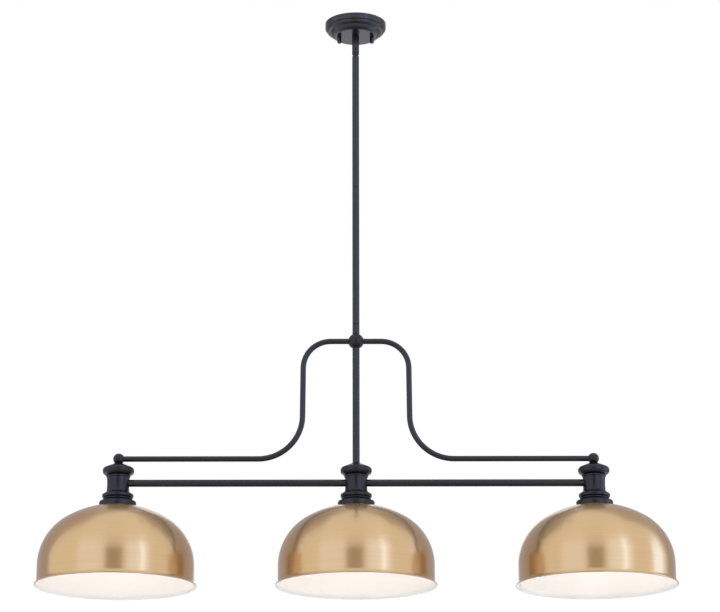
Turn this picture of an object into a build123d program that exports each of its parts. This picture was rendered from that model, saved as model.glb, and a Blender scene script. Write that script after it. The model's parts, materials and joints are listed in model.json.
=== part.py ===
from build123d import *

import os
from math import sqrt

# A billiard light: three dome shades in a row, hung from the ceiling by one straight stem.
# X runs along the row of lights and Z points up. The ceiling is the plane z = 0, and the
# origin is the middle of the canopy. All sizes are in millimetres.

# Layout
light_spacing = 485.0
rod_length = 300.0
swivel_reach = 30.5  # canopy's flat bottom to the swivel pin
swivel_tail = 12.5  # swivel pin to the top of the rods
hub_drop = 36.7  # foot of the rods to the hub's centre
arm_drop = 249.0  # hub's centre to the low runs of the arms
arm_reach = 108.5  # stem's axis to the head of an arm's upright run
arm_lean = 2.5  # how much farther out the foot of that run is
bar_depth = 16.5  # top of a fitter body to the axis of the bars

# Fits
thread_fit = 0.05  # radial room in a screwed or pushed joint
running_fit = 0.05  # radial room round a turning pin or stud
face_gap = 0.1  # between flat faces that turn on each other
loose_fit = 0.4  # radial room round what passes through freely

# Ceiling strap and crossbar
box_slot_spacing = 79.4
box_slot_length = 14.5
box_slot_width = 4.8
strap_margin = 6.0
strap_width = 20.0
strap_thickness = 1.8
crossbar_width = 16.0
crossbar_thickness = 2.0
crossbar_margin = 8.0
canopy_screw_spacing = 69.85
stud_diameter = 4.0
strap_screw_diameter = 5.0
strap_screw_head_diameter = 9.0
strap_screw_head_height = 3.0
ground_screw_diameter = 3.5
ground_screw_head_width = 8.0  # across the flats
ground_screw_head_height = 2.5
ground_screw_place = 19.0
driver_slot_width = 1.2
driver_slot_depth = 1.2

# Canopy
canopy_diameter = 130.0
canopy_wall = 1.2
canopy_depth = 30.0
canopy_band = 12.6  # ceiling to the first ledge
canopy_step = 7.2  # first ledge to the second
canopy_ledge_width = 3.2
canopy_lower_ledge_width = 7.5
canopy_crown_slope = 4.7  # how far the crown's wall leans in
canopy_edge_round = 1.5
canopy_step_round = 6.0
canopy_corner_round = 0.8
canopy_crown_round = 13.5
knob_diameter = 9.0
knob_length = 14.0
knob_round = 2.0
knob_floor = 2.5  # metal left under the knob's blind thread

# Swivel
swivel_diameter = 15.0
swivel_pin_diameter = 4.0
swivel_ear_relief = 0.2  # ear's end is this much smaller than the barrel
swivel_shoulder_room = 0.8  # past the other half's ear
swivel_end_chamfer = 1.7
swivel_neck_diameter = 11.2  # between the lower half's barrel and the rod
swivel_neck_height = 1.2
pin_socket_width = 2.0  # across the flats
pin_socket_depth = 1.5
washer_diameter = 22.0
washer_thickness = 1.5
locknut_width = 15.0  # across the flats
locknut_height = 4.0
thread_end = 1.0  # thread that shows past a nut

# Stem tubes
stem_diameter = 14.6
stem_wall = 2.3
rod_end_chamfer = 0.6
nipple_bore = 6.6
nipple_length = 16.0
nipple_room = 0.3  # past a nipple's end in a blind thread
wire_diameter = 4.4
wire_bend = 11.0

# Hub, arms, end balls and bars
hub_diameter = 32.5
end_ball_diameter = 23.0
end_ball_flat_radius = 7.4  # where the ball sits on its cap
ball_web = 2.2  # metal between an upright thread and an arm's end
arm_diameter = 11.5
arm_wall = 1.2
arm_upper_bend = 57.0
arm_lower_bend = 90.5
bar_diameter = 14.7
bar_wall = 1.5
bar_end_reach = 1.0  # a bar's end past the wall of the fitter

# Fitter: cap, body and base
cap_height = 25.3
cap_diameter = 64.0
cap_neck_radius = 8.5
cap_flare_radius = 10.0
cap_flare_drop = 1.4
cap_shoulder_drop = 10.9
cap_flare_round = 4.0
cap_shoulder_round = 7.0
cap_lip_round = 8.5
body_height = 51.1
body_wall = 3.0
body_web = 3.0
bead_diameter = 49.0
bead_height = 5.0
bead_round = 2.4
neck_diameter = 45.8
neck_waist = 0.6  # how far the neck draws in
neck_waist_depth = 21.7
neck_waist_round = 100.0
flare_depth = 34.7  # top of the body to the start of its flare
flare_round = 8.5
ring_diameter = 63.8
ring_depth = 40.5
ring_height = 6.5
ring_round = 3.2
crease_diameter = 56.4  # the line between the ring and the foot bead
foot_bead_diameter = 59.6
foot_bead_height = 3.6
foot_bead_round = 1.4
base_height = 14.3
base_diameter = 75.2
base_shoulder = 4.0
base_shoulder_round = 3.5
base_foot_round = 1.2
base_floor = 3.2
spigot_diameter = 51.7
spigot_wall = 2.3
spigot_height = 8.0

# Lampholder and ring
socket_flange_height = 3.5
socket_barrel_diameter = 34.0
socket_skirt_diameter = 39.5
socket_skirt_length = 30.0  # below the flange
socket_height = 29.0  # above the foot of the flange
socket_bore_depth = 36.0  # mouth to the top of the screw shell
socket_wall = 2.5
socket_chamber_diameter = 14.0
socket_chamber_depth = 4.0
socket_thread_pitch = 2.5
socket_thread_depth = 0.5
shell_wall = 0.8
shell_mouth = 4.0  # socket's mouth to the end of its screw shell
contact_thickness = 1.0
contact_bump_radius = 3.0
contact_bump_height = 3.5
contact_gap = 0.3
ring_nut_diameter = 54.0
ring_nut_height = 7.0
ring_nut_notches = 18
ring_nut_notch_radius = 1.4

# Shade
shade_rim_diameter = 327.0  # over the rolled rim
shade_body_diameter = 317.0
shade_height = 161.5  # seat to the middle of the rolled rim
shade_roll_diameter = 3.0
shade_wall = 1.0
shade_seat_radius = 37.0
shade_crown_radius = 200.0
shade_shoulder_radius = 112.0
shade_flare_height = 8.5

# Bulb
bulb_thread_diameter = 26.0
bulb_thread_depth = 0.7
bulb_thread_pitch = 3.6
bulb_thread_turns = 5
bulb_tip_radius = 4.6
bulb_tip_height = 1.0
bulb_insulator_height = 3.5
bulb_collar_height = 3.5
bulb_globe_diameter = 60.0
bulb_glass_length = 82.0
bulb_neck_diameter = 25.0
bulb_shoulder_radius = 45.0
bulb_glass_wall = 1.0

# Terminal block in the centre fitter
terminal_length = 16.0
terminal_width = 13.0
terminal_corner = 1.0
terminal_screw_diameter = 3.6
terminal_screw_depth = 2.0

# Radii worked out from the sizes above
stem_radius = stem_diameter / 2
stem_bore_radius = stem_radius - stem_wall
nipple_radius = stem_bore_radius - thread_fit
nipple_hole_radius = stem_bore_radius
wire_radius = wire_diameter / 2
stud_radius = stud_diameter / 2
stud_place = canopy_screw_spacing / 2
swivel_radius = swivel_diameter / 2
swivel_ear_radius = swivel_radius - swivel_ear_relief
pin_radius = swivel_pin_diameter / 2
hub_radius = hub_diameter / 2
end_ball_radius = end_ball_diameter / 2
arm_radius = arm_diameter / 2
bar_radius = bar_diameter / 2
neck_radius = neck_diameter / 2
neck_inner_radius = neck_radius - neck_waist - body_wall
arm_end = nipple_hole_radius + ball_web
bar_end = neck_inner_radius - bar_end_reach
skirt_radius = socket_skirt_diameter / 2
skirt_hole_radius = skirt_radius + loose_fit
barrel_radius = socket_barrel_diameter / 2
socket_bore_radius = barrel_radius - socket_wall
shell_outer_radius = socket_bore_radius - thread_fit
shell_inner_radius = shell_outer_radius - shell_wall
spigot_outer_radius = spigot_diameter / 2
spigot_inner_radius = spigot_outer_radius - spigot_wall
flange_radius = spigot_inner_radius - loose_fit
bulb_thread_radius = bulb_thread_diameter / 2

# Heights worked out from the sizes above
crossbar_top = -strap_thickness
crossbar_bottom = crossbar_top - crossbar_thickness
canopy_floor = canopy_wall - canopy_depth
swivel_shoulder = -canopy_depth - face_gap
washer_bottom = canopy_floor + face_gap
locknut_bottom = washer_bottom + washer_thickness
locknut_top = locknut_bottom + locknut_height
pin_height = -canopy_depth - swivel_reach
rod_top = pin_height - swivel_tail
rod_joint = rod_top - rod_length
rod_bottom = rod_joint - rod_length
hub_height = rod_bottom - hub_drop
hub_flat = sqrt(hub_radius**2 - stem_radius**2)
arm_low = hub_height - arm_drop
cap_top = arm_low - sqrt(end_ball_radius**2 - end_ball_flat_radius**2)
cap_bottom = cap_top - cap_height
web_bottom = cap_bottom - body_web
fitter_nut_bottom = web_bottom - locknut_height
bar_height = cap_bottom - bar_depth
body_bottom = cap_bottom - body_height
seat_height = body_bottom - base_height
floor_height = seat_height + base_floor
rim_height = seat_height - shade_height
socket_top = floor_height + socket_height
socket_mouth = floor_height - socket_skirt_length
flange_top = floor_height + socket_flange_height
shell_top = socket_mouth + socket_bore_depth
chamber_top = shell_top + socket_chamber_depth
contact_tip = chamber_top - contact_thickness - contact_bump_height
bulb_tip = contact_tip - contact_gap
bulb_thread_top = bulb_tip - bulb_tip_height - bulb_insulator_height
bulb_collar_top = bulb_thread_top - bulb_thread_turns * bulb_thread_pitch
glass_top = bulb_collar_top - bulb_collar_height
glass_bottom = glass_top - bulb_glass_length
terminal_top = bar_height + wire_diameter

lights = {"left": -light_spacing, "centre": 0.0, "right": light_spacing}
sides = {"left": -1, "right": 1}

os.makedirs("parts", exist_ok=True)


def save(piece, name):
    piece.part.label = name
    export_step(piece.part, f"parts/{name}.step")


def upright(x):
    """Plane of the row, with its own origin under the ceiling at x."""
    return Plane(origin=(x, 0, 0), x_dir=(1, 0, 0), z_dir=(0, -1, 0))


def vertical(x):
    return Axis((x, 0, 0), (0, 0, 1))


def turned_face(x, corners):
    """Half section of a turned piece. Each corner is a radius, a height and a rounding."""
    points = [(radius, height) for radius, height, rounding in corners]
    roundings = [rounding for radius, height, rounding in corners]
    with BuildSketch(upright(x)) as face:
        with BuildLine():
            FilletPolyline(*points, radius=roundings, close=True)
        make_face()
    return face.sketch


def ring_face(height, outer, inner, places):
    """Flat ring, or several alike, at one height."""
    with BuildSketch(Plane.XY.offset(height)) as face:
        with Locations(*places):
            Circle(outer)
            Circle(inner, mode=Mode.SUBTRACT)
    return face.sketch


def thread_corners(radius, depth, pitch, turns, top):
    """Corners of a thread's outline, shown as closed ridges, from its top down."""
    corners = []
    for turn in range(turns):
        ridge_top = top - turn * pitch
        corners.append((radius - depth, ridge_top, 0))
        corners.append((radius, ridge_top - pitch * 0.35, 0))
        corners.append((radius, ridge_top - pitch * 0.65, 0))
    corners.append((radius - depth, top - turns * pitch, 0))
    return corners


# Mounting strap: lies on the ceiling box and takes its two screws
strap_length = box_slot_spacing + box_slot_length + 2 * strap_margin
with BuildPart() as mounting_strap:
    with BuildSketch():
        SlotOverall(strap_length, strap_width, rotation=90)
        with GridLocations(0, box_slot_spacing, 1, 2):
            SlotOverall(box_slot_length, box_slot_width, rotation=90, mode=Mode.SUBTRACT)
        Circle(strap_screw_diameter / 2 + thread_fit, mode=Mode.SUBTRACT)
    extrude(amount=-strap_thickness)
save(mounting_strap, "mounting_strap")

# Crossbar: lies across the strap and carries the canopy's two studs
crossbar_length = canopy_screw_spacing + 2 * crossbar_margin
with BuildPart() as crossbar:
    with BuildSketch(Plane.XY.offset(crossbar_top)):
        SlotOverall(crossbar_length, crossbar_width)
        with GridLocations(canopy_screw_spacing, 0, 2, 1):
            Circle(stud_radius + thread_fit, mode=Mode.SUBTRACT)
        Circle(strap_screw_diameter / 2 + thread_fit, mode=Mode.SUBTRACT)
        with Locations((ground_screw_place, 0)):
            Circle(ground_screw_diameter / 2 + thread_fit, mode=Mode.SUBTRACT)
    extrude(amount=-crossbar_thickness)
save(crossbar, "crossbar")

# Strap screw: pan head under the crossbar, threaded into the strap
strap_screw_foot = crossbar_bottom - strap_screw_head_height
with BuildPart() as strap_screw:
    with BuildSketch(Plane.XY.offset(crossbar_bottom)):
        Circle(strap_screw_diameter / 2)
    extrude(amount=strap_thickness + crossbar_thickness)
    with BuildSketch(Plane.XY.offset(crossbar_bottom)):
        Circle(strap_screw_head_diameter / 2)
    extrude(amount=-strap_screw_head_height)
    fillet(strap_screw.edges().group_by(Axis.Z)[0], strap_screw_head_height * 0.4)
    with BuildSketch(Plane.XY.offset(strap_screw_foot)):
        Rectangle(strap_screw_head_diameter, driver_slot_width)
    extrude(amount=driver_slot_depth, mode=Mode.SUBTRACT)
save(strap_screw, "strap_screw")

# Ground screw: hexagon head on the crossbar
with BuildPart() as ground_screw:
    with BuildSketch(Plane.XY.offset(crossbar_bottom)):
        with Locations((ground_screw_place, 0)):
            Circle(ground_screw_diameter / 2)
    extrude(amount=crossbar_thickness)
    with BuildSketch(Plane.XY.offset(crossbar_bottom)):
        with Locations((ground_screw_place, 0)):
            RegularPolygon(ground_screw_head_width / 2, 6, major_radius=False)
    extrude(amount=-ground_screw_head_height)
    with BuildSketch(Plane.XY.offset(crossbar_bottom - ground_screw_head_height)):
        with Locations((ground_screw_place, 0)):
            Rectangle(ground_screw_head_width * 1.2, driver_slot_width)
    extrude(amount=driver_slot_depth, mode=Mode.SUBTRACT)
save(ground_screw, "ground_screw")

# Canopy studs: from the crossbar down through the canopy into the knobs
knob_top = -canopy_depth - face_gap
knob_bottom = knob_top - knob_length
knob_thread_end = knob_bottom + knob_floor
stud_bottom = knob_thread_end + nipple_room
with BuildPart() as canopy_studs:
    with BuildSketch(Plane.XY.offset(stud_bottom)):
        with GridLocations(canopy_screw_spacing, 0, 2, 1):
            Circle(stud_radius)
    extrude(amount=crossbar_top - stud_bottom)
save(canopy_studs, "canopy_studs")


def canopy_face(inset):
    """Half section of the canopy's outside, or of its hollow where inset is the wall."""
    outer = canopy_diameter / 2 - inset
    step = outer - canopy_ledge_width
    crown = step - canopy_lower_ledge_width
    ledge = inset - canopy_band
    lower_ledge = ledge - canopy_step
    bottom = inset - canopy_depth
    crown_height = lower_ledge - bottom
    step_round = min(canopy_step_round, canopy_step * 0.8, canopy_lower_ledge_width * 0.7)
    crown_round = min(canopy_crown_round, crown_height * 1.23)
    corners = [
        (0, 0, 0),
        (outer, 0, 0),
        (outer, ledge, canopy_edge_round - inset),
        (step, ledge, canopy_corner_round + inset),
        (step, lower_ledge, step_round - inset),
        (crown, lower_ledge, canopy_corner_round + inset),
        (crown - canopy_crown_slope, bottom, crown_round - inset),
        (0, bottom, 0),
    ]
    return turned_face(0, corners)


# Canopy: stepped cup with holes for the swivel and the two studs
with BuildPart() as canopy:
    revolve(canopy_face(0), axis=vertical(0))
    revolve(canopy_face(canopy_wall), axis=vertical(0), mode=Mode.SUBTRACT)
    with BuildSketch(Plane.XY.offset(canopy_floor)):
        Circle(nipple_radius + running_fit)
        with GridLocations(canopy_screw_spacing, 0, 2, 1):
            Circle(stud_radius + loose_fit)
    extrude(amount=-canopy_wall, mode=Mode.SUBTRACT)
save(canopy, "canopy")

# Canopy knobs: thumb nuts on the two studs
for name, side in sides.items():
    knob_corners = [
        (stud_radius + running_fit, knob_top, 0),
        (knob_diameter / 2, knob_top, 0),
        (knob_diameter / 2, knob_bottom, knob_round),
        (0, knob_bottom, 0),
        (0, knob_thread_end, 0),
        (stud_radius + running_fit, knob_thread_end, 0),
    ]
    with BuildPart() as knob:
        revolve(turned_face(side * stud_place, knob_corners), axis=vertical(side * stud_place))
    save(knob, f"canopy_knob_{name}")


def hexagon_nuts(top, places):
    """Hexagon lock nuts on the upright nipples, hung down from one height."""
    with BuildPart() as nuts:
        with BuildSketch(Plane.XY.offset(top)):
            with Locations(*places):
                RegularPolygon(locknut_width / 2, 6, major_radius=False)
                Circle(nipple_hole_radius, mode=Mode.SUBTRACT)
        extrude(amount=-locknut_height)
    return nuts


# Washer and lock nut that hold the swivel in the canopy
with BuildPart() as swivel_washer:
    washer_ring = ring_face(washer_bottom, washer_diameter / 2, nipple_hole_radius, [(0, 0)])
    extrude(washer_ring, amount=washer_thickness)
save(swivel_washer, "swivel_washer")
save(hexagon_nuts(locknut_top, [(0, 0)]), "swivel_locknut")


def knuckle_half(far_end, back):
    """Half of the lapped swivel: a barrel from far_end to the pin, cut to one side of the lap.

    The cut side is the one that back points to, 1 for +Y and -1 for -Y.
    """
    up = 1 if far_end > pin_height else -1
    lap_end = pin_height + up * (swivel_ear_radius + swivel_shoulder_room)
    ear_end = pin_height - up * swivel_ear_radius
    with BuildPart() as half:
        with BuildSketch(Plane.XY.offset(far_end)):
            Circle(swivel_radius)
        extrude(amount=ear_end - far_end)
        with BuildSketch(Plane.XY.offset(lap_end)):
            with Locations((0, back * (swivel_radius - face_gap) / 2)):
                Rectangle(2 * swivel_diameter, swivel_radius + face_gap)
        extrude(amount=ear_end - lap_end, mode=Mode.SUBTRACT)
        with BuildSketch(Plane.XZ):
            with Locations((0, pin_height - up * swivel_radius / 2)):
                Rectangle(2 * swivel_diameter, swivel_radius)
            with Locations((0, pin_height)):
                Circle(swivel_ear_radius, mode=Mode.SUBTRACT)
        extrude(amount=swivel_radius, both=True, mode=Mode.SUBTRACT)
        with BuildSketch(Plane.XZ):
            with Locations((0, pin_height)):
                Circle(pin_radius + running_fit)
        extrude(amount=swivel_radius, both=True, mode=Mode.SUBTRACT)
        with BuildSketch(Plane.XY.offset(far_end)):
            Circle(nipple_bore / 2)
        extrude(amount=lap_end - far_end, mode=Mode.SUBTRACT)
    return half.part


# Upper swivel half: its threaded stud goes up through the canopy
swivel_stud_top = locknut_top + thread_end
with BuildPart() as swivel_upper:
    add(knuckle_half(swivel_shoulder, 1))
    upper_stud = ring_face(swivel_shoulder, nipple_radius, nipple_bore / 2, [(0, 0)])
    extrude(upper_stud, amount=swivel_stud_top - swivel_shoulder)
save(swivel_upper, "swivel_upper")

# Swivel pin: along Y, as long as the barrel is thick, with a hexagon socket in its front end
pin_reach = sqrt(swivel_radius**2 - pin_radius**2)
with BuildPart() as swivel_pin:
    with BuildSketch(Plane.XZ):
        with Locations((0, pin_height)):
            Circle(pin_radius)
    extrude(amount=pin_reach, both=True)
    chamfer(swivel_pin.edges().filter_by(GeomType.CIRCLE), pin_radius * 0.25)
    with BuildSketch(Plane.XZ.offset(pin_reach)):
        with Locations((0, pin_height)):
            RegularPolygon(pin_socket_width / 2, 6, major_radius=False)
    extrude(amount=-pin_socket_depth, mode=Mode.SUBTRACT)
save(swivel_pin, "swivel_pin")

# Lower swivel half: a short neck that the upper rod seats on, and a threaded stud down into it
swivel_neck_top = rod_top + swivel_neck_height
with BuildPart() as swivel_lower:
    add(knuckle_half(swivel_neck_top, -1))
    chamfer(swivel_lower.edges().group_by(Axis.Z)[0].sort_by(SortBy.RADIUS)[-1], swivel_end_chamfer)
    swivel_neck = ring_face(swivel_neck_top, swivel_neck_diameter / 2, nipple_bore / 2, [(0, 0)])
    extrude(swivel_neck, amount=-swivel_neck_height)
    lower_stud = ring_face(rod_top, nipple_radius, nipple_bore / 2, [(0, 0)])
    extrude(lower_stud, amount=-nipple_length / 2)
save(swivel_lower, "swivel_lower")


def stem_tube(top, bottom, top_chamfer, bottom_chamfer):
    """Upright tube on the stem's axis with eased outer edges."""
    with BuildPart() as tube:
        extrude(ring_face(top, stem_radius, stem_bore_radius, [(0, 0)]), amount=bottom - top)
        chamfer(tube.edges().group_by(Axis.Z)[-1].sort_by(SortBy.RADIUS)[-1], top_chamfer)
        chamfer(tube.edges().group_by(Axis.Z)[0].sort_by(SortBy.RADIUS)[-1], bottom_chamfer)
    return tube


# Rods, collar and lower stem, from the swivel down to the centre fitter
collar_bottom = hub_height + hub_flat
lower_stem_top = hub_height - hub_flat
save(stem_tube(rod_top, rod_joint, swivel_end_chamfer, rod_end_chamfer), "stem_rod_upper")
save(stem_tube(rod_joint, rod_bottom, rod_end_chamfer, rod_end_chamfer), "stem_rod_lower")
save(stem_tube(rod_bottom, collar_bottom, rod_end_chamfer, rod_end_chamfer), "hub_collar")
save(stem_tube(lower_stem_top, cap_top, rod_end_chamfer, rod_end_chamfer), "lower_stem")

# Nipples: one at each joint of the stem below the swivel
nipple_places = [rod_joint, rod_bottom, collar_bottom, lower_stem_top]
with BuildPart() as stem_nipples:
    for joint_height in nipple_places:
        nipple_top = joint_height + nipple_length / 2 - nipple_room
        nipple_bottom = joint_height - nipple_length / 2 + nipple_room
        nipple_ring = ring_face(nipple_top, nipple_radius, nipple_bore / 2, [(0, 0)])
        extrude(nipple_ring, amount=nipple_bottom - nipple_top)
save(stem_nipples, "stem_nipples")

# Hub: ball with flats for the stem, threads for its nipples and sockets for the two arms
with BuildPart() as hub_ball:
    with Locations((0, 0, hub_height)):
        Sphere(hub_radius)
    split(bisect_by=Plane.XY.offset(collar_bottom), keep=Keep.BOTTOM)
    split(bisect_by=Plane.XY.offset(lower_stem_top), keep=Keep.TOP)
    with BuildSketch(Plane.XY.offset(collar_bottom)):
        Circle(nipple_bore / 2)
    extrude(amount=lower_stem_top - collar_bottom, mode=Mode.SUBTRACT)
    for face_height, inward in ((collar_bottom, -1), (lower_stem_top, 1)):
        with BuildSketch(Plane.XY.offset(face_height)):
            Circle(nipple_hole_radius)
        extrude(amount=inward * nipple_length / 2, mode=Mode.SUBTRACT)
    for side in sides.values():
        with BuildSketch(Plane.YZ.offset(side * arm_end)):
            with Locations((0, hub_height)):
                Circle(arm_radius + thread_fit)
        extrude(amount=side * hub_radius, mode=Mode.SUBTRACT)
save(hub_ball, "hub_ball")

# Arms: tubes that leave the hub level, bend down, and bend out to the end balls
for name, side in sides.items():
    with BuildPart() as arm:
        with BuildLine(Plane.XZ):
            FilletPolyline(
                (side * arm_end, hub_height),
                (side * arm_reach, hub_height),
                (side * (arm_reach + arm_lean), arm_low),
                (side * (light_spacing - arm_end), arm_low),
                radius=[arm_upper_bend, arm_lower_bend],
            )
        with BuildSketch(Plane(origin=(side * arm_end, 0, hub_height), z_dir=(side, 0, 0))):
            Circle(arm_radius)
            Circle(arm_radius - arm_wall, mode=Mode.SUBTRACT)
        sweep()
    save(arm, f"arm_{name}")

# End balls: each sits on its cap, threaded from below, with a socket for the arm
for name, side in sides.items():
    ball_x = lights[name]
    with BuildPart() as end_ball:
        with Locations((ball_x, 0, arm_low)):
            Sphere(end_ball_radius)
        split(bisect_by=Plane.XY.offset(cap_top), keep=Keep.TOP)
        with BuildSketch(Plane.XY.offset(cap_top)):
            with Locations((ball_x, 0)):
                Circle(nipple_hole_radius)
        extrude(amount=nipple_length / 2, mode=Mode.SUBTRACT)
        with BuildSketch(Plane.YZ.offset(ball_x - side * arm_end)):
            with Locations((0, arm_low)):
                Circle(arm_radius + thread_fit)
        extrude(amount=-side * end_ball_radius, mode=Mode.SUBTRACT)
    save(end_ball, f"end_ball_{name}")

# Bars: tubes from the centre fitter to the end fitters, which carry the wires
for name, side in sides.items():
    with BuildPart() as bar:
        with BuildSketch(Plane.YZ.offset(side * bar_end)):
            with Locations((0, bar_height)):
                Circle(bar_radius)
                Circle(bar_radius - bar_wall, mode=Mode.SUBTRACT)
        extrude(amount=side * (light_spacing - 2 * bar_end))
    save(bar, f"bar_{name}")

# Fitter nipples and lock nuts: they hold cap and body to the stem or the end ball
fitter_places = [(x, 0) for x in lights.values()]
fitter_nipple_top = cap_top + nipple_length / 2 - nipple_room
fitter_nipple_bottom = fitter_nut_bottom - thread_end
with BuildPart() as fitter_nipples:
    nipple_ring = ring_face(fitter_nipple_top, nipple_radius, nipple_bore / 2, fitter_places)
    extrude(nipple_ring, amount=fitter_nipple_bottom - fitter_nipple_top)
save(fitter_nipples, "fitter_nipples")
save(hexagon_nuts(web_bottom, fitter_places), "fitter_locknuts")


def cap_face(x):
    """Cap: flares from the stem, rounds over at its widest and tucks in underneath."""
    widest = cap_diameter / 2
    corners = [
        (nipple_hole_radius, cap_top, 0),
        (cap_neck_radius, cap_top, 0),
        (cap_flare_radius, cap_top - cap_flare_drop, cap_flare_round),
        (widest, cap_top - cap_shoulder_drop, cap_shoulder_round),
        (widest, cap_bottom, cap_lip_round),
        (nipple_hole_radius, cap_bottom, 0),
    ]
    return turned_face(x, corners)


def body_face(x):
    """Body: a bead, a waisted neck, a flare, a ring and a foot bead, hollow and open below."""
    bead = bead_diameter / 2
    ring = ring_diameter / 2
    foot_bead = foot_bead_diameter / 2
    bead_bottom = cap_bottom - bead_height
    bead_foot_round = min(bead_round, (bead - neck_radius) * 0.9)
    ring_top = cap_bottom - ring_depth
    foot_bead_top = body_bottom + foot_bead_height
    spigot_room = spigot_outer_radius + thread_fit
    spigot_top = body_bottom + spigot_height + thread_fit
    corners = [
        (nipple_hole_radius, cap_bottom, 0),
        (bead, cap_bottom, bead_round),
        (bead, bead_bottom, bead_foot_round),
        (neck_radius, bead_bottom, 0),
        (neck_radius - neck_waist, cap_bottom - neck_waist_depth, neck_waist_round),
        (neck_radius, cap_bottom - flare_depth, flare_round),
        (ring, ring_top, ring_round),
        (ring, ring_top - ring_height, ring_round),
        (crease_diameter / 2, foot_bead_top, 0),
        (foot_bead, foot_bead_top, foot_bead_round),
        (foot_bead, body_bottom, foot_bead_round),
        (spigot_room, body_bottom, 0),
        (spigot_room, spigot_top, 0),
        (neck_inner_radius, spigot_top, 0),
        (neck_inner_radius, web_bottom, 0),
        (nipple_hole_radius, web_bottom, 0),
    ]
    return turned_face(x, corners)


def base_face(x):
    """Base: a spigot into the body, a sloped shoulder, and a floor that seats the shade."""
    outer = base_diameter / 2
    corners = [
        (spigot_inner_radius, body_bottom + spigot_height, 0),
        (spigot_outer_radius, body_bottom + spigot_height, 0),
        (spigot_outer_radius, body_bottom, 0),
        (crease_diameter / 2, body_bottom, 0),
        (outer, body_bottom - base_shoulder, base_shoulder_round),
        (outer, seat_height, base_foot_round),
        (skirt_hole_radius, seat_height, 0),
        (skirt_hole_radius, floor_height, 0),
        (spigot_inner_radius, floor_height, 0),
    ]
    return turned_face(x, corners)


def socket_face(x):
    """Lampholder: barrel, flange and threaded skirt round a stepped bore."""
    thread_top = floor_height - base_floor - shade_wall
    turns = int((thread_top - socket_mouth) / socket_thread_pitch)
    threads = thread_corners(skirt_radius, socket_thread_depth, socket_thread_pitch, turns, thread_top)
    corners = [
        (0, socket_top, 0),
        (barrel_radius, socket_top, 0),
        (barrel_radius, flange_top, 0),
        (flange_radius, flange_top, 0),
        (flange_radius, floor_height, 0),
        (skirt_radius, floor_height, 0),
        (skirt_radius, thread_top, 0),
        *threads,
        (skirt_radius - socket_thread_depth, socket_mouth, 0),
        (socket_bore_radius, socket_mouth, 0),
        (socket_bore_radius, shell_top, 0),
        (socket_chamber_diameter / 2, shell_top, 0),
        (socket_chamber_diameter / 2, chamber_top, 0),
        (0, chamber_top, 0),
    ]
    return turned_face(x, corners)


def contact_face(x):
    """Centre contact: a disc with a round spring bump under it."""
    disc = socket_chamber_diameter / 2 - thread_fit
    disc_bottom = chamber_top - contact_thickness
    corners = [
        (0, chamber_top, 0),
        (disc, chamber_top, 0),
        (disc, disc_bottom, 0),
        (contact_bump_radius, disc_bottom, 0),
        (contact_bump_radius, contact_tip, contact_bump_radius * 0.5),
        (0, contact_tip, 0),
    ]
    return turned_face(x, corners)


# Shade outline: where its flat seat, crown, shoulder, wall and flare meet
crown_middle = seat_height - sqrt(shade_crown_radius**2 - shade_seat_radius**2)
shoulder_reach = shade_body_diameter / 2 - shade_shoulder_radius
crown_to_shoulder = shade_crown_radius - shade_shoulder_radius
shoulder_height = crown_middle + sqrt(crown_to_shoulder**2 - shoulder_reach**2)
shade_roll_radius = shade_roll_diameter / 2
shade_lip_radius = shade_rim_diameter / 2 - shade_roll_radius
flare_top = rim_height + shade_flare_height
flare_reach = shade_lip_radius - shade_body_diameter / 2
shade_flare_radius = (flare_reach**2 + shade_flare_height**2) / (2 * flare_reach)


def shade_line(inset):
    """Shade's outline from its seat to its rim, drawn in by inset. Returns its two ends."""
    crown = shade_crown_radius - inset
    seat = seat_height - inset
    body = shade_body_diameter / 2 - inset
    share = crown / crown_to_shoulder
    flare = (shade_flare_radius + inset) / shade_flare_radius
    flare_middle = shade_body_diameter / 2 + shade_flare_radius
    start = (skirt_hole_radius, seat)
    seat_edge = (sqrt(crown**2 - (seat - crown_middle) ** 2), seat)
    meeting = (shoulder_reach * share, crown_middle + (shoulder_height - crown_middle) * share)
    rim = (
        flare_middle + (shade_lip_radius - flare_middle) * flare,
        flare_top + (rim_height - flare_top) * flare,
    )
    Line(start, seat_edge)
    RadiusArc(seat_edge, meeting, crown)
    RadiusArc(meeting, (body, shoulder_height), shade_shoulder_radius - inset)
    Line((body, shoulder_height), (body, flare_top))
    RadiusArc((body, flare_top), rim, -shade_flare_radius - inset)
    return start, rim


def shade_face(x):
    """Half section of the shade: a thin wall that ends in a rolled rim."""
    with BuildSketch(upright(x)) as face:
        with BuildLine():
            outer_start, outer_rim = shade_line(0)
            inner_start, inner_rim = shade_line(shade_wall)
            Line(outer_start, inner_start)
            Line(outer_rim, inner_rim)
        make_face()
        with Locations(outer_rim):
            Circle(shade_roll_radius)
    return face.sketch


def bulb_base_face(x):
    """Bulb's base: tip, insulator, threaded shell and collar."""
    root = bulb_thread_radius - bulb_thread_depth
    threads = thread_corners(
        bulb_thread_radius, bulb_thread_depth, bulb_thread_pitch, bulb_thread_turns, bulb_thread_top
    )
    corners = [
        (0, bulb_tip, 0),
        (bulb_tip_radius, bulb_tip, 0),
        (bulb_tip_radius, bulb_tip - bulb_tip_height, 0),
        *threads,
        (root, glass_top, 0),
        (0, glass_top, 0),
    ]
    return turned_face(x, corners)


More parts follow.
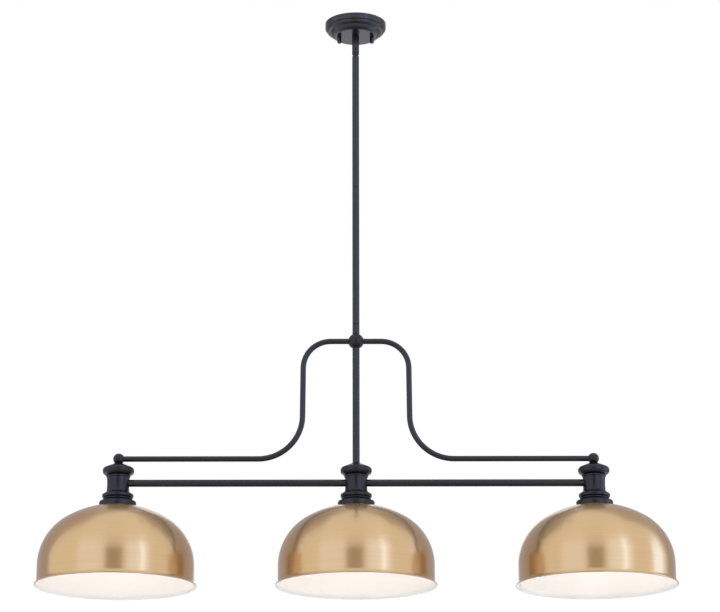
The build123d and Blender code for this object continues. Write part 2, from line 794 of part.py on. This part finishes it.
def bulb_line(inset):
    """Bulb's outline from its neck to its lowest point, drawn in by inset. Returns its two ends."""
    globe = bulb_globe_diameter / 2 - inset
    neck = bulb_neck_diameter / 2 - inset
    shoulder = bulb_shoulder_radius + inset
    middle = glass_bottom + bulb_globe_diameter / 2
    reach = neck + shoulder
    rise = sqrt((globe + shoulder) ** 2 - reach**2)
    share = globe / (globe + shoulder)
    start = (neck, glass_top)
    neck_foot = (neck, middle + rise)
    meeting = (reach * share, middle + rise * share)
    lowest = (0, middle - globe)
    Line(start, neck_foot)
    RadiusArc(neck_foot, meeting, -shoulder)
    RadiusArc(meeting, (globe, middle), globe)
    RadiusArc((globe, middle), lowest, globe)
    return start, lowest


def bulb_glass_face(x):
    with BuildSketch(upright(x)) as face:
        with BuildLine():
            outer_start, outer_lowest = bulb_line(0)
            inner_start, inner_lowest = bulb_line(bulb_glass_wall)
            Line(outer_start, inner_start)
            Line(outer_lowest, inner_lowest)
        make_face()
    return face.sketch


# The three lights, each a stack on its own upright axis
for name, x in lights.items():
    axis = vertical(x)

    with BuildPart() as fitter_cap:
        revolve(cap_face(x), axis=axis)
    save(fitter_cap, f"fitter_cap_{name}")

    bar_sides = [side for side in sides.values() if abs(x + side * light_spacing) <= light_spacing]
    with BuildPart() as fitter_body:
        revolve(body_face(x), axis=axis)
        for side in bar_sides:
            with BuildSketch(Plane.YZ.offset(x)):
                with Locations((0, bar_height)):
                    Circle(bar_radius + thread_fit)
            extrude(amount=side * cap_diameter, mode=Mode.SUBTRACT)
    save(fitter_body, f"fitter_body_{name}")

    with BuildPart() as fitter_base:
        revolve(base_face(x), axis=axis)
    save(fitter_base, f"fitter_base_{name}")

    with BuildPart() as socket_body:
        revolve(socket_face(x), axis=axis)
    save(socket_body, f"socket_body_{name}")

    with BuildPart() as socket_shell:
        shell_ring = ring_face(shell_top, shell_outer_radius, shell_inner_radius, [(x, 0)])
        extrude(shell_ring, amount=socket_mouth + shell_mouth - shell_top)
    save(socket_shell, f"socket_shell_{name}")

    with BuildPart() as shade:
        revolve(shade_face(x), axis=axis)
    save(shade, f"shade_{name}")

    ring_nut_top = seat_height - shade_wall
    with BuildPart() as shade_ring:
        nut_ring = ring_face(ring_nut_top, ring_nut_diameter / 2, skirt_radius + thread_fit, [(x, 0)])
        extrude(nut_ring, amount=-ring_nut_height)
        with BuildSketch(Plane.XY.offset(ring_nut_top)):
            with Locations((x, 0)):
                with PolarLocations(ring_nut_diameter / 2, ring_nut_notches):
                    Circle(ring_nut_notch_radius)
        extrude(amount=-ring_nut_height, mode=Mode.SUBTRACT)
    save(shade_ring, f"shade_ring_{name}")

    with BuildPart() as bulb_base:
        revolve(bulb_base_face(x), axis=axis)
    save(bulb_base, f"bulb_base_{name}")

    with BuildPart() as bulb_glass:
        revolve(bulb_glass_face(x), axis=axis)
    save(bulb_glass, f"bulb_glass_{name}")

# Centre contacts of the three lampholders
with BuildPart() as socket_contacts:
    for x in lights.values():
        revolve(contact_face(x), axis=vertical(x))
save(socket_contacts, "socket_contacts")

# Terminal block: stands on the centre lampholder, where the three wires meet
with BuildPart() as terminal_block:
    with BuildSketch(Plane.XY.offset(socket_top)):
        RectangleRounded(terminal_length, terminal_width, terminal_corner)
    extrude(amount=terminal_top - socket_top)
    with BuildSketch(Plane.XZ.offset(terminal_width / 2)):
        with Locations((0, bar_height)):
            with GridLocations(terminal_length / 2, 0, 2, 1):
                Circle(terminal_screw_diameter / 2)
    extrude(amount=-terminal_screw_depth, mode=Mode.SUBTRACT)
save(terminal_block, "terminal_block")

# Stem wire: straight down the stem to the terminal block
wire_top = pin_height - swivel_ear_radius - swivel_shoulder_room
with BuildPart() as wire_stem:
    with BuildSketch(Plane.XY.offset(terminal_top)):
        Circle(wire_radius)
    extrude(amount=wire_top - terminal_top)
save(wire_stem, "wire_stem")

# Bar wires: from the terminal block along the bars, then down to the end lampholders
wire_drop_place = neck_inner_radius - wire_bend - wire_diameter
for name, side in sides.items():
    with BuildPart() as bar_wire:
        with BuildLine(Plane.XZ):
            FilletPolyline(
                (side * terminal_length / 2, bar_height),
                (side * (light_spacing - wire_drop_place), bar_height),
                (side * (light_spacing - wire_drop_place), socket_top),
                radius=wire_bend,
            )
        with BuildSketch(Plane(origin=(side * terminal_length / 2, 0, bar_height), z_dir=(side, 0, 0))):
            Circle(wire_radius)
        sweep()
    save(bar_wire, f"wire_{name}")
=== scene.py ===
import json
import math

import bmesh
import bpy
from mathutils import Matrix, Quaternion, Vector


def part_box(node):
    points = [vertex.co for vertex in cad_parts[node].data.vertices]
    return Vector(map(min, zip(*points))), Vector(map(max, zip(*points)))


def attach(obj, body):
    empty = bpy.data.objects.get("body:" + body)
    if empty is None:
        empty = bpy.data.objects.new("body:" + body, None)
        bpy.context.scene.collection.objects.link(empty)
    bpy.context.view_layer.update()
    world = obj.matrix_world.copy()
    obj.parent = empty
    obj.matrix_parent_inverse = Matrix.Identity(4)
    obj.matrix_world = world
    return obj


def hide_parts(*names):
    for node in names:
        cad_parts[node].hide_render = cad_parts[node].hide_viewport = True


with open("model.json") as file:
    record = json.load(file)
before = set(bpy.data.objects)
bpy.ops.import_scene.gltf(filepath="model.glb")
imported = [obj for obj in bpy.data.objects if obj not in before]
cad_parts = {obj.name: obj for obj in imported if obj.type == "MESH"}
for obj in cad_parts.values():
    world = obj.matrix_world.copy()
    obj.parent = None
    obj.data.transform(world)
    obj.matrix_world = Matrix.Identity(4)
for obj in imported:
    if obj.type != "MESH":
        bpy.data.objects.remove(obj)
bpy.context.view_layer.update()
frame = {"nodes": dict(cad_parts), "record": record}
nodes = frame["nodes"]
lights = ("left", "centre", "right")


def node_middle(name):
    """Middle of a node's box."""
    low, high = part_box(name)
    return (low + high) / 2


def node_size(name):
    """Width, depth and height of a node's box."""
    low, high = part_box(name)
    return high - low


# Sizes of the shades in metres, read from the frame where it shows them
shade_rim_radius = node_size("shade_centre").x / 2
shade_roll_radius = 0.0015
shade_lip_radius = shade_rim_radius - shade_roll_radius
shade_body_radius = 0.1585
shade_wall = 0.001
shade_seat_radius = 0.037
shade_crown_radius = 0.2
shade_shoulder_radius = 0.112
shade_flare_height = 0.0085
flange_step = 0.003  # how far the lampholder's flange reaches past the shade's hole
shade_hole_radius = node_size("socket_body_centre").x / 2 - flange_step
seat_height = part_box("fitter_base_centre")[0].z
lip_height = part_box("shade_centre")[0].z + shade_roll_radius

# Steps along each arc of a shade's outline and round the shade, and the angle from which an edge is sharp
crown_steps = 24
shoulder_steps = 40
flare_steps = 12
roll_steps = 8
turn_steps = 192
sharp_angle = math.radians(40)


# Node helpers

def new_material(name):
    """Node material whose shader is already joined to its output."""
    material = bpy.data.materials.new(name)
    material.use_nodes = True
    shader = material.node_tree.nodes["Principled BSDF"]
    return material, material.node_tree, shader


def add_node(tree, kind, **settings):
    """New node with its settings."""
    node = tree.nodes.new(kind)
    for key, value in settings.items():
        setattr(node, key, value)
    return node


def set_inputs(node, **values):
    """Sets a node's inputs by name, with underscores for spaces."""
    for key, value in values.items():
        node.inputs[key.replace("_", " ")].default_value = value


def object_coords(tree):
    """Place on the object, in metres."""
    return add_node(tree, "ShaderNodeTexCoord").outputs["Object"]


def noise(tree, vector, scale, detail=2.0, roughness=0.5):
    """Cloudy noise, with about scale features to each unit of the vector."""
    node = add_node(tree, "ShaderNodeTexNoise")
    set_inputs(node, Scale=scale, Detail=detail, Roughness=roughness)
    tree.links.new(vector, node.inputs["Vector"])
    return node.outputs["Fac"]


def stretched(tree, vector, scale):
    """Vector with each of its parts multiplied."""
    node = add_node(tree, "ShaderNodeMapping")
    node.inputs["Scale"].default_value = scale
    tree.links.new(vector, node.inputs["Vector"])
    return node.outputs["Vector"]


def spread(tree, value, low, high, from_low=0.3, from_high=0.7):
    """Maps a value from one range onto another; left out, the first is where most noise values lie."""
    node = add_node(tree, "ShaderNodeMapRange")
    set_inputs(node, From_Min=from_low, From_Max=from_high, To_Min=low, To_Max=high)
    tree.links.new(value, node.inputs["Value"])
    return node.outputs["Result"]


def two_tone(tree, value, tones):
    """Colour between two tones."""
    node = add_node(tree, "ShaderNodeMix", data_type="RGBA")
    colour_inputs = [socket for socket in node.inputs if socket.type == "RGBA"]
    for colour_input, tone in zip(colour_inputs, tones):
        colour_input.default_value = (*tone, 1)
    tree.links.new(value, node.inputs["Factor"])
    return [socket for socket in node.outputs if socket.type == "RGBA"][0]


def bump(tree, height, distance, strength):
    """Normal of a surface with a fine relief."""
    node = add_node(tree, "ShaderNodeBump")
    set_inputs(node, Strength=strength, Distance=distance)
    tree.links.new(height, node.inputs["Height"])
    return node.outputs["Normal"]


# Coated surfaces: noise is counted per metre, and reliefs are in metres
cloud_scale = 14.0
gloss_change = 0.03
coat_strength = 0.1


def painted(name, tones, roughness, grain, relief, metallic=0.0, specular=0.5, tint=(1, 1, 1)):
    """Coated surface: slight change of tone, and a fine even grain in gloss and relief."""
    material, tree, shader = new_material(name)
    coords = object_coords(tree)
    cloud = noise(tree, coords, cloud_scale, detail=3.0)
    fine = noise(tree, coords, grain)
    gloss = spread(tree, fine, roughness - gloss_change, roughness + gloss_change)
    tree.links.new(two_tone(tree, spread(tree, cloud, 0.0, 1.0), tones), shader.inputs["Base Color"])
    tree.links.new(gloss, shader.inputs["Roughness"])
    tree.links.new(bump(tree, fine, relief, coat_strength), shader.inputs["Normal"])
    set_inputs(shader, Metallic=metallic, Specular_IOR_Level=specular, Specular_Tint=(*tint, 1))
    return material


def black_paint(name, roughness, relief, specular):
    """Black paint whose reflections carry a painted cool tint, standing in for cool light."""
    tones = ((0.004, 0.004, 0.006), (0.005, 0.005, 0.008))
    # painted cool tint on the reflections, standing in for the colour of cool light
    painted_cool_light_tint = (0.88, 0.87, 1.0)
    return painted(name, tones, roughness, grain=900.0, relief=relief, specular=specular, tint=painted_cool_light_tint)


def metal(name, tones, roughness, grain, relief):
    """Bare or plated metal with a fine grain."""
    return painted(name, tones, roughness, grain, relief, metallic=1.0)


satin_black = black_paint("satin_black", roughness=0.3, relief=0.00003, specular=0.48)
tube_black = black_paint("tube_black", roughness=0.3, relief=0.00003, specular=0.66)
canopy_black = black_paint("canopy_black", roughness=0.22, relief=0.00002, specular=0.7)

enamel_tones = ((0.93, 0.915, 0.885), (0.91, 0.895, 0.865))
white_enamel = painted("white_enamel", enamel_tones, roughness=0.38, grain=320.0, relief=0.00004)

zinc_tones = ((0.58, 0.59, 0.6), (0.68, 0.68, 0.68))
zinc_plate = metal("zinc_plate", zinc_tones, roughness=0.34, grain=600.0, relief=0.00004)

green_tones = ((0.03, 0.16, 0.05), (0.04, 0.2, 0.07))
green_screw = painted("green_screw", green_tones, roughness=0.4, grain=600.0, relief=0.00004)

contact_tones = ((0.6, 0.44, 0.18), (0.68, 0.5, 0.22))
bright_brass = metal("bright_brass", contact_tones, roughness=0.26, grain=700.0, relief=0.00003)

phenolic_tones = ((0.022, 0.02, 0.018), (0.03, 0.027, 0.024))
black_phenolic = painted("black_phenolic", phenolic_tones, roughness=0.5, grain=500.0, relief=0.00006)

plastic_tones = ((0.72, 0.71, 0.67), (0.76, 0.75, 0.71))
white_plastic = painted("white_plastic", plastic_tones, roughness=0.45, grain=500.0, relief=0.00005)

wire_tones = ((0.018, 0.018, 0.018), (0.026, 0.026, 0.026))
wire_cover = painted("wire_cover", wire_tones, roughness=0.55, grain=500.0, relief=0.00006)

cap_tones = ((0.66, 0.66, 0.66), (0.74, 0.74, 0.74))
bulb_metal = metal("bulb_metal", cap_tones, roughness=0.3, grain=700.0, relief=0.00003)


# Brushed brass: how fast lines and bands change round the shade, and per metre along its outline
line_stretch = (1.6, 1.6, 2600.0)
band_stretch = (0.8, 0.8, 420.0)
brush_contrast = 0.6
line_depth = 0.00003
line_strength = 0.1
brass_tones = ((0.66, 0.438, 0.214), (0.69, 0.462, 0.232))
smooth_brass = 0.28
rough_brass = 0.34


def brushed_brass():
    """Brass spun on a lathe: fine lines run round the shade, so reflections stretch up and down it."""
    material, tree, shader = new_material("brushed_brass")
    coords = add_node(tree, "ShaderNodeAttribute", attribute_name="brush").outputs["Vector"]
    line_place = stretched(tree, coords, line_stretch)
    lines = noise(tree, line_place, scale=1.0, roughness=brush_contrast)
    band_place = stretched(tree, coords, band_stretch)
    bands = noise(tree, band_place, scale=1.0, detail=3.0, roughness=brush_contrast)
    tone = two_tone(tree, spread(tree, bands, 0.0, 1.0), brass_tones)
    tree.links.new(tone, shader.inputs["Base Color"])
    tree.links.new(spread(tree, lines, smooth_brass, rough_brass), shader.inputs["Roughness"])
    tree.links.new(bump(tree, lines, line_depth, line_strength), shader.inputs["Normal"])
    tangent = add_node(tree, "ShaderNodeTangent", direction_type="RADIAL", axis="Z")
    tree.links.new(tangent.outputs["Tangent"], shader.inputs["Tangent"])
    set_inputs(shader, Metallic=1.0, Anisotropic=0.8, Anisotropic_Rotation=0.25)
    set_inputs(shader, Coat_Weight=1.0, Coat_Roughness=0.14)
    return material


# Bulb glass: its frost, its glow, and the heights, as shares from tip to neck, between which the glow fades
frost_grain = 420.0
frost_depth = 0.00005
frost_strength = 0.2
smooth_frost = 0.4
rough_frost = 0.55
bulb_glow = 8.0
neck_glow = 0.8
bulb_middle = 0.38
bulb_shoulder = 0.8


def lit_glass():
    """Frosted bulb glass, lit from within: bright from its tip to its middle, dim towards its neck."""
    material, tree, shader = new_material("lit_glass")
    coords = add_node(tree, "ShaderNodeTexCoord")
    frost = noise(tree, coords.outputs["Object"], frost_grain)
    tree.links.new(bump(tree, frost, frost_depth, frost_strength), shader.inputs["Normal"])
    tree.links.new(spread(tree, frost, smooth_frost, rough_frost), shader.inputs["Roughness"])
    place = add_node(tree, "ShaderNodeSeparateXYZ")
    tree.links.new(coords.outputs["Generated"], place.inputs["Vector"])
    glow = spread(tree, place.outputs["Z"], bulb_glow, neck_glow, bulb_middle, bulb_shoulder)
    tree.links.new(glow, shader.inputs["Emission Strength"])
    set_inputs(shader, Base_Color=(0.93, 0.9, 0.84, 1), Emission_Color=(1.0, 0.855, 0.76, 1))
    return material


brass_finish = brushed_brass()

# Each node takes the finish of its slot; the black of the canopy, stem and arms is glossier than the fitters'
slot_finishes = {
    "satin_black": satin_black,
    "brushed_brass": brass_finish,
    "zinc": zinc_plate,
    "ground_green": green_screw,
    "contact_brass": bright_brass,
    "socket_plastic": black_phenolic,
    "terminal_plastic": white_plastic,
    "wire_cover": wire_cover,
    "bulb_metal": bulb_metal,
    "bulb_glass": lit_glass(),
}
canopy_nodes = ("canopy", "canopy_knob_left", "canopy_knob_right")
stem_nodes = ("stem_rod_upper", "stem_rod_lower", "hub_collar", "lower_stem", "swivel_upper", "swivel_lower")
arm_nodes = ("arm_left", "arm_right", "bar_left", "bar_right")
for subpart in frame["record"]["subparts"]:
    finish = slot_finishes[subpart["material_slot"]]
    if subpart["node"] in canopy_nodes:
        finish = canopy_black
    if subpart["node"] in stem_nodes + arm_nodes:
        finish = tube_black
    node = nodes[subpart["node"]]
    node.data.materials.clear()
    node.data.materials.append(finish)


# Shades

def arc(middle, radius, start, end, steps):
    """Points on an arc, by angles in radians from +X of the half section."""
    points = []
    for step in range(steps + 1):
        angle = start + (end - start) * step / steps
        points.append((middle[0] + radius * math.cos(angle), middle[1] + radius * math.sin(angle)))
    return points


def shade_outline(inset):
    """Half section of a shade's wall, from its hole to its rolled rim, drawn in by inset."""
    crown_middle = seat_height - math.sqrt(shade_crown_radius**2 - shade_seat_radius**2)
    shoulder_reach = shade_body_radius - shade_shoulder_radius
    between = shade_crown_radius - shade_shoulder_radius
    shoulder_height = crown_middle + math.sqrt(between**2 - shoulder_reach**2)
    shoulder_middle = (shoulder_reach, shoulder_height)
    shoulder = shade_shoulder_radius - inset
    flare_reach = shade_lip_radius - shade_body_radius
    flare_radius = (flare_reach**2 + shade_flare_height**2) / (2 * flare_reach)
    flare_middle = (shade_body_radius + flare_radius, lip_height + shade_flare_height)
    meeting = math.atan2(shoulder_height - crown_middle, shoulder_reach)
    seat = seat_height - inset
    crown = shade_crown_radius - inset
    seat_angle = math.asin((seat - crown_middle) / crown)
    flare_end = math.pi + math.asin(shade_flare_height / flare_radius)
    flare_end -= math.sqrt(shade_roll_radius**2 - inset**2) / flare_radius
    points = [(shade_hole_radius, seat)]
    points += arc((0, crown_middle), crown, seat_angle, meeting, crown_steps)
    points += arc(shoulder_middle, shoulder, meeting, 0, shoulder_steps)[1:]
    points += arc(flare_middle, flare_radius + inset, math.pi, flare_end, flare_steps)
    return points


def rolled_rim(start, end):
    """The rim's roll, from the end of the outer wall out, down and round to the end of the inner wall."""
    middle = (shade_lip_radius, lip_height)
    first = math.atan2(start[1] - lip_height, start[0] - shade_lip_radius)
    last = math.atan2(end[1] - lip_height, end[0] - shade_lip_radius)
    lowest = -math.pi / 2
    outer_half = arc(middle, shade_roll_radius, first, lowest, roll_steps)
    inner_half = arc(middle, shade_roll_radius, lowest, last - 2 * math.pi, roll_steps)
    return outer_half[1:], inner_half[1:-1]


def turned_mesh(name, x, outline):
    """Closed outline turned about the upright line at x."""
    mesh = bpy.data.meshes.new(name)
    shape = bmesh.new()
    rings = []
    for radius, height in outline:
        ring = []
        for step in range(turn_steps):
            turn = 2 * math.pi * step / turn_steps
            ring.append(shape.verts.new((x + radius * math.cos(turn), radius * math.sin(turn), height)))
        rings.append(ring)
    for upper, lower in zip(rings, rings[1:] + rings[:1]):
        for step in range(turn_steps):
            after = (step + 1) % turn_steps
            shape.faces.new((upper[step], lower[step], lower[after], upper[after]))
    bmesh.ops.recalc_face_normals(shape, faces=shape.faces)
    shape.to_mesh(mesh)
    shape.free()
    mesh.shade_smooth()
    mesh.set_sharp_from_angle(angle=sharp_angle)
    piece = bpy.data.objects.new(name, mesh)
    bpy.context.scene.collection.objects.link(piece)
    return piece


def keep_brush(piece, outline):
    """Stores on each point the way round the axis and the distance along the outline."""
    brush = piece.data.attributes.new("brush", "FLOAT_VECTOR", "POINT")
    travelled = 0.0
    for row, point in enumerate(outline):
        if row:
            travelled += math.dist(outline[row - 1], point)
        for step in range(turn_steps):
            turn = 2 * math.pi * step / turn_steps
            brush.data[row * turn_steps + step].vector = (math.cos(turn), math.sin(turn), travelled)


def make_shade(name):
    """A spun shade: brass outside, white enamel inside, which meet at the lowest line of the rim."""
    x = node_middle(f"shade_{name}").x
    outside = shade_outline(0)
    inside = shade_outline(shade_wall)
    outer_roll, inner_roll = rolled_rim(outside[-1], inside[-1])
    outline = outside + outer_roll + inner_roll + inside[::-1]
    shade = turned_mesh(f"dome_shade_{name}", x, outline)
    keep_brush(shade, outline)
    shade.data.materials.append(brass_finish)
    shade.data.materials.append(white_enamel)
    first_inside = len(outside) + len(outer_roll) - 1
    for face in shade.data.polygons:
        face.material_index = int(face.index // turn_steps >= first_inside)
    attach(shade, "stem")
    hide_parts(f"shade_{name}")


for light in lights:
    make_shade(light)


# Stage: floor, studio lights, cards that only show in reflections, backdrop and camera, in metres
floor_height = -2.44
floor_width = 30.0
level_drop = 0.08  # from the shades' seats to the level that the panels face
shade_level = seat_height - level_drop


def flat_panel(name, middle, width, height, facing):
    """Flat panel that faces a point."""
    mesh = bpy.data.meshes.new(name)
    shape = bmesh.new()
    corners = ((-0.5, -0.5), (0.5, -0.5), (0.5, 0.5), (-0.5, 0.5))
    shape.faces.new([shape.verts.new((width * u, height * v, 0)) for u, v in corners])
    shape.to_mesh(mesh)
    shape.free()
    panel = bpy.data.objects.new(name, mesh)
    bpy.context.scene.collection.objects.link(panel)
    panel.location = middle
    panel.rotation_mode = "QUATERNION"
    panel.rotation_quaternion = (Vector(facing) - Vector(middle)).to_track_quat("Z", "Y")
    return panel


# Floor: its clouds per metre and tones; in reflections it shows painted shade, dark under the light and pale
# far off
floor_cloud = 1.5
floor_tones = ((0.88, 0.88, 0.87), (0.9, 0.9, 0.89))
near_strength = 0.35
far_strength = 1.0
near_reach = 0.8
far_reach = 3.2


def pale_floor():
    """Pale matt floor, with painted shade near its middle in reflections, and clear when seen from below."""
    material, tree, shader = new_material("pale_floor")
    coords = object_coords(tree)
    tone = two_tone(tree, noise(tree, coords, floor_cloud), floor_tones)
    tree.links.new(tone, shader.inputs["Base Color"])
    set_inputs(shader, Roughness=0.9, Specular_IOR_Level=0.1)

    # In reflections the floor glows dimmer near its middle: painted shade under the light
    reach = add_node(tree, "ShaderNodeVectorMath", operation="LENGTH")
    tree.links.new(coords, reach.inputs[0])
    painted_reflection = add_node(tree, "ShaderNodeEmission")
    set_inputs(painted_reflection, Color=(0.95, 0.94, 1.0, 1))
    strength = spread(tree, reach.outputs["Value"], near_strength, far_strength, near_reach, far_reach)
    tree.links.new(strength, painted_reflection.inputs["Strength"])
    rays = add_node(tree, "ShaderNodeLightPath")
    above = add_node(tree, "ShaderNodeMixShader")
    tree.links.new(rays.outputs["Is Glossy Ray"], above.inputs["Fac"])
    tree.links.new(shader.outputs["BSDF"], above.inputs[1])
    tree.links.new(painted_reflection.outputs["Emission"], above.inputs[2])

    clear = add_node(tree, "ShaderNodeBsdfTransparent")
    side = add_node(tree, "ShaderNodeNewGeometry")
    both = add_node(tree, "ShaderNodeMixShader")
    tree.links.new(side.outputs["Backfacing"], both.inputs["Fac"])
    tree.links.new(above.outputs["Shader"], both.inputs[1])
    tree.links.new(clear.outputs["BSDF"], both.inputs[2])
    tree.links.new(both.outputs["Shader"], tree.nodes["Material Output"].inputs["Surface"])
    return material


floor = flat_panel("floor", (0, 0, floor_height), floor_width, floor_width, (0, 0, 0))
floor.data.materials.append(pale_floor())


def studio_panel(name, azimuth, distance, level, width, height, tone, lights_object=True):
    """Panel round the object, hidden from the camera; azimuth 0 is the camera's side, 90 is the right."""
    turn = math.radians(azimuth)
    place = (distance * math.sin(turn), -distance * math.cos(turn), level)
    panel = flat_panel(name, place, width, height, (0, 0, shade_level))
    material, tree, shader = new_material(name)
    set_inputs(shader, Base_Color=(0, 0, 0, 1), Roughness=1.0, Specular_IOR_Level=0.0)
    set_inputs(shader, Emission_Color=(*tone, 1), Emission_Strength=1.0)
    panel.data.materials.append(material)
    panel.visible_camera = False
    panel.visible_transmission = False
    panel.visible_diffuse = lights_object
    panel.visible_shadow = lights_object


def reflection_card(name, azimuth, distance, rise, width, height, tone):
    """Card that only shows in reflections, at a rise over the shades' level."""
    studio_panel(name, azimuth, distance, shade_level + rise, width, height, tone, lights_object=False)


edge_white = (1.42, 1.8, 2.6)
front_grey = (0.25, 0.22, 0.2)
side_grey = (0.46, 0.42, 0.42)
studio_panel("key", azimuth=34, distance=6.0, level=0.4, width=3.9, height=4.4, tone=(1.21, 1.39, 1.78))
studio_panel("strip", azimuth=41, distance=5.9, level=0.4, width=0.55, height=4.4, tone=(1.95, 2.5, 3.7))
studio_panel("fill", azimuth=-36, distance=6.0, level=0.4, width=4.2, height=4.4, tone=(1.15, 1.25, 1.48))
studio_panel("side", azimuth=99, distance=4.0, level=-0.6, width=0.8, height=2.8, tone=(1.2, 1.35, 1.7))
reflection_card("card_edge", azimuth=89, distance=1.3, rise=-0.06, width=0.3, height=0.87, tone=edge_white)
reflection_card("card_front", azimuth=-2, distance=6.5, rise=0.3, width=2.7, height=3.8, tone=front_grey)
reflection_card("card_left", azimuth=-138, distance=5.0, rise=2.0, width=6.5, height=11.0, tone=side_grey)
reflection_card("card_right", azimuth=142, distance=5.0, rise=2.0, width=5.5, height=11.0, tone=side_grey)


def studio_world():
    """Soft light from all round, and a white backdrop for the camera, for reflections and through glass."""
    world = bpy.data.worlds.new("studio")
    world.use_nodes = True
    tree = world.node_tree
    ambient = tree.nodes["Background"]
    set_inputs(ambient, Color=(1, 1, 1, 1), Strength=0.75)
    backdrop = add_node(tree, "ShaderNodeBackground")
    set_inputs(backdrop, Color=(1, 1, 1, 1), Strength=1.0)
    rays = add_node(tree, "ShaderNodeLightPath")
    seen = add_node(tree, "ShaderNodeMath", operation="ADD")
    seen_through = add_node(tree, "ShaderNodeMath", operation="ADD", use_clamp=True)
    both = add_node(tree, "ShaderNodeMixShader")
    tree.links.new(rays.outputs["Is Camera Ray"], seen.inputs[0])
    tree.links.new(rays.outputs["Is Glossy Ray"], seen.inputs[1])
    tree.links.new(seen.outputs["Value"], seen_through.inputs[0])
    tree.links.new(rays.outputs["Is Transmission Ray"], seen_through.inputs[1])
    tree.links.new(seen_through.outputs["Value"], both.inputs["Fac"])
    tree.links.new(ambient.outputs["Background"], both.inputs[1])
    tree.links.new(backdrop.outputs["Background"], both.inputs[2])
    tree.links.new(both.outputs["Shader"], tree.nodes["World Output"].inputs["Surface"])
    return world


bpy.context.scene.world = studio_world()

# Camera: below the shades, looking slightly up, as in the photograph; angles in radians, lens in millimetres
camera_place = (-0.0041, -4.8328, -2.0553)
camera_yaw = 0.0026
camera_pitch = 0.2862
camera_roll = -0.0019
camera_lens = 120.97
camera_sensor = 36.0
camera_range = 100.0

camera_data = bpy.data.cameras.new("camera")
camera_data.sensor_width = camera_sensor
camera_data.lens = camera_lens
camera_data.clip_end = camera_range
camera = bpy.data.objects.new("camera", camera_data)
bpy.context.scene.collection.objects.link(camera)
camera.location = camera_place
looking = Vector((
    math.sin(camera_yaw) * math.cos(camera_pitch),
    math.cos(camera_yaw) * math.cos(camera_pitch),
    math.sin(camera_pitch),
))
camera.rotation_mode = "QUATERNION"
camera.rotation_quaternion = looking.to_track_quat("-Z", "Y") @ Quaternion((0, 0, 1), camera_roll)
bpy.context.scene.camera = camera
bpy.context.scene.view_settings.view_transform = "Standard"
